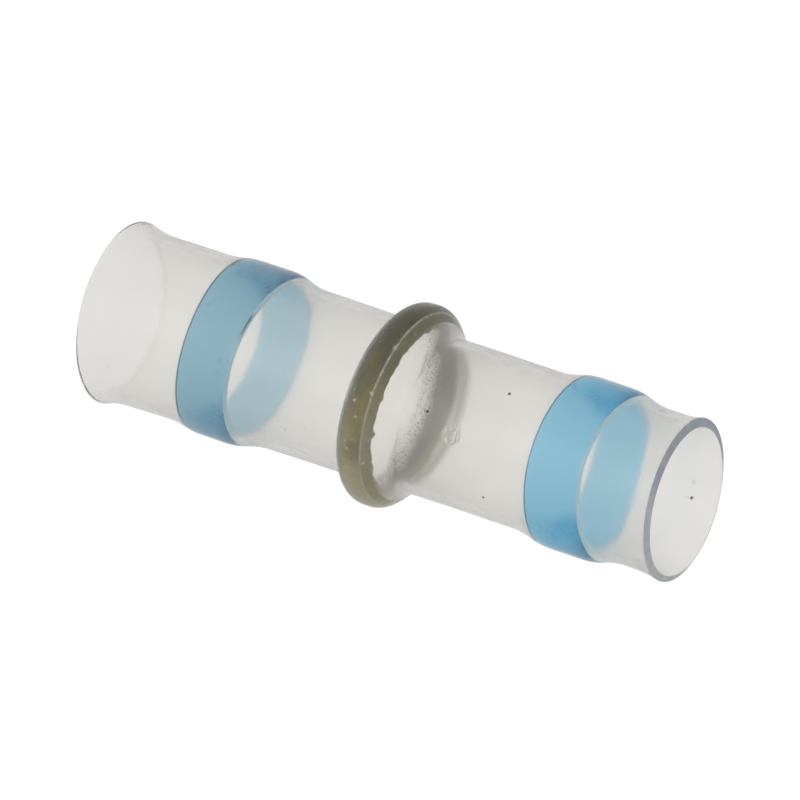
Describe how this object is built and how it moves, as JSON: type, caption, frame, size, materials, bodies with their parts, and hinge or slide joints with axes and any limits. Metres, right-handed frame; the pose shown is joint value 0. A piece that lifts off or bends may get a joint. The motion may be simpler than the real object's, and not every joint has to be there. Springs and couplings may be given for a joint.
{
  "type": "solder sleeve",
  "caption": "Clear heat-shrink sleeve with a solder ring at its middle and a blue sealing ring near each end, for splicing wires.",
  "frame": {"origin": "middle of the wider, lower end of the tube, at the height of the edge that it stands on", "axes": "+Z along the tube, from the wider end to the narrower one, which is the open mouth that faces the viewer in the picture; the part is round, so X and Y are free"},
  "size_m": [0.0086, 0.0086, 0.0261],
  "materials": {
    "clear_tube": "translucent, slightly milky, soft gloss",
    "blue_sealant": "translucent blue hot-melt plastic, waxy",
    "solder": "dull olive-grey solder under a thin brownish coat of flux"
  },
  "bodies": {
    "root": {"sleeve": "clear_tube", "lower_seal_ring": "blue_sealant", "upper_seal_ring": "blue_sealant", "solder_ring": "solder"}
  },
  "joints": []
}
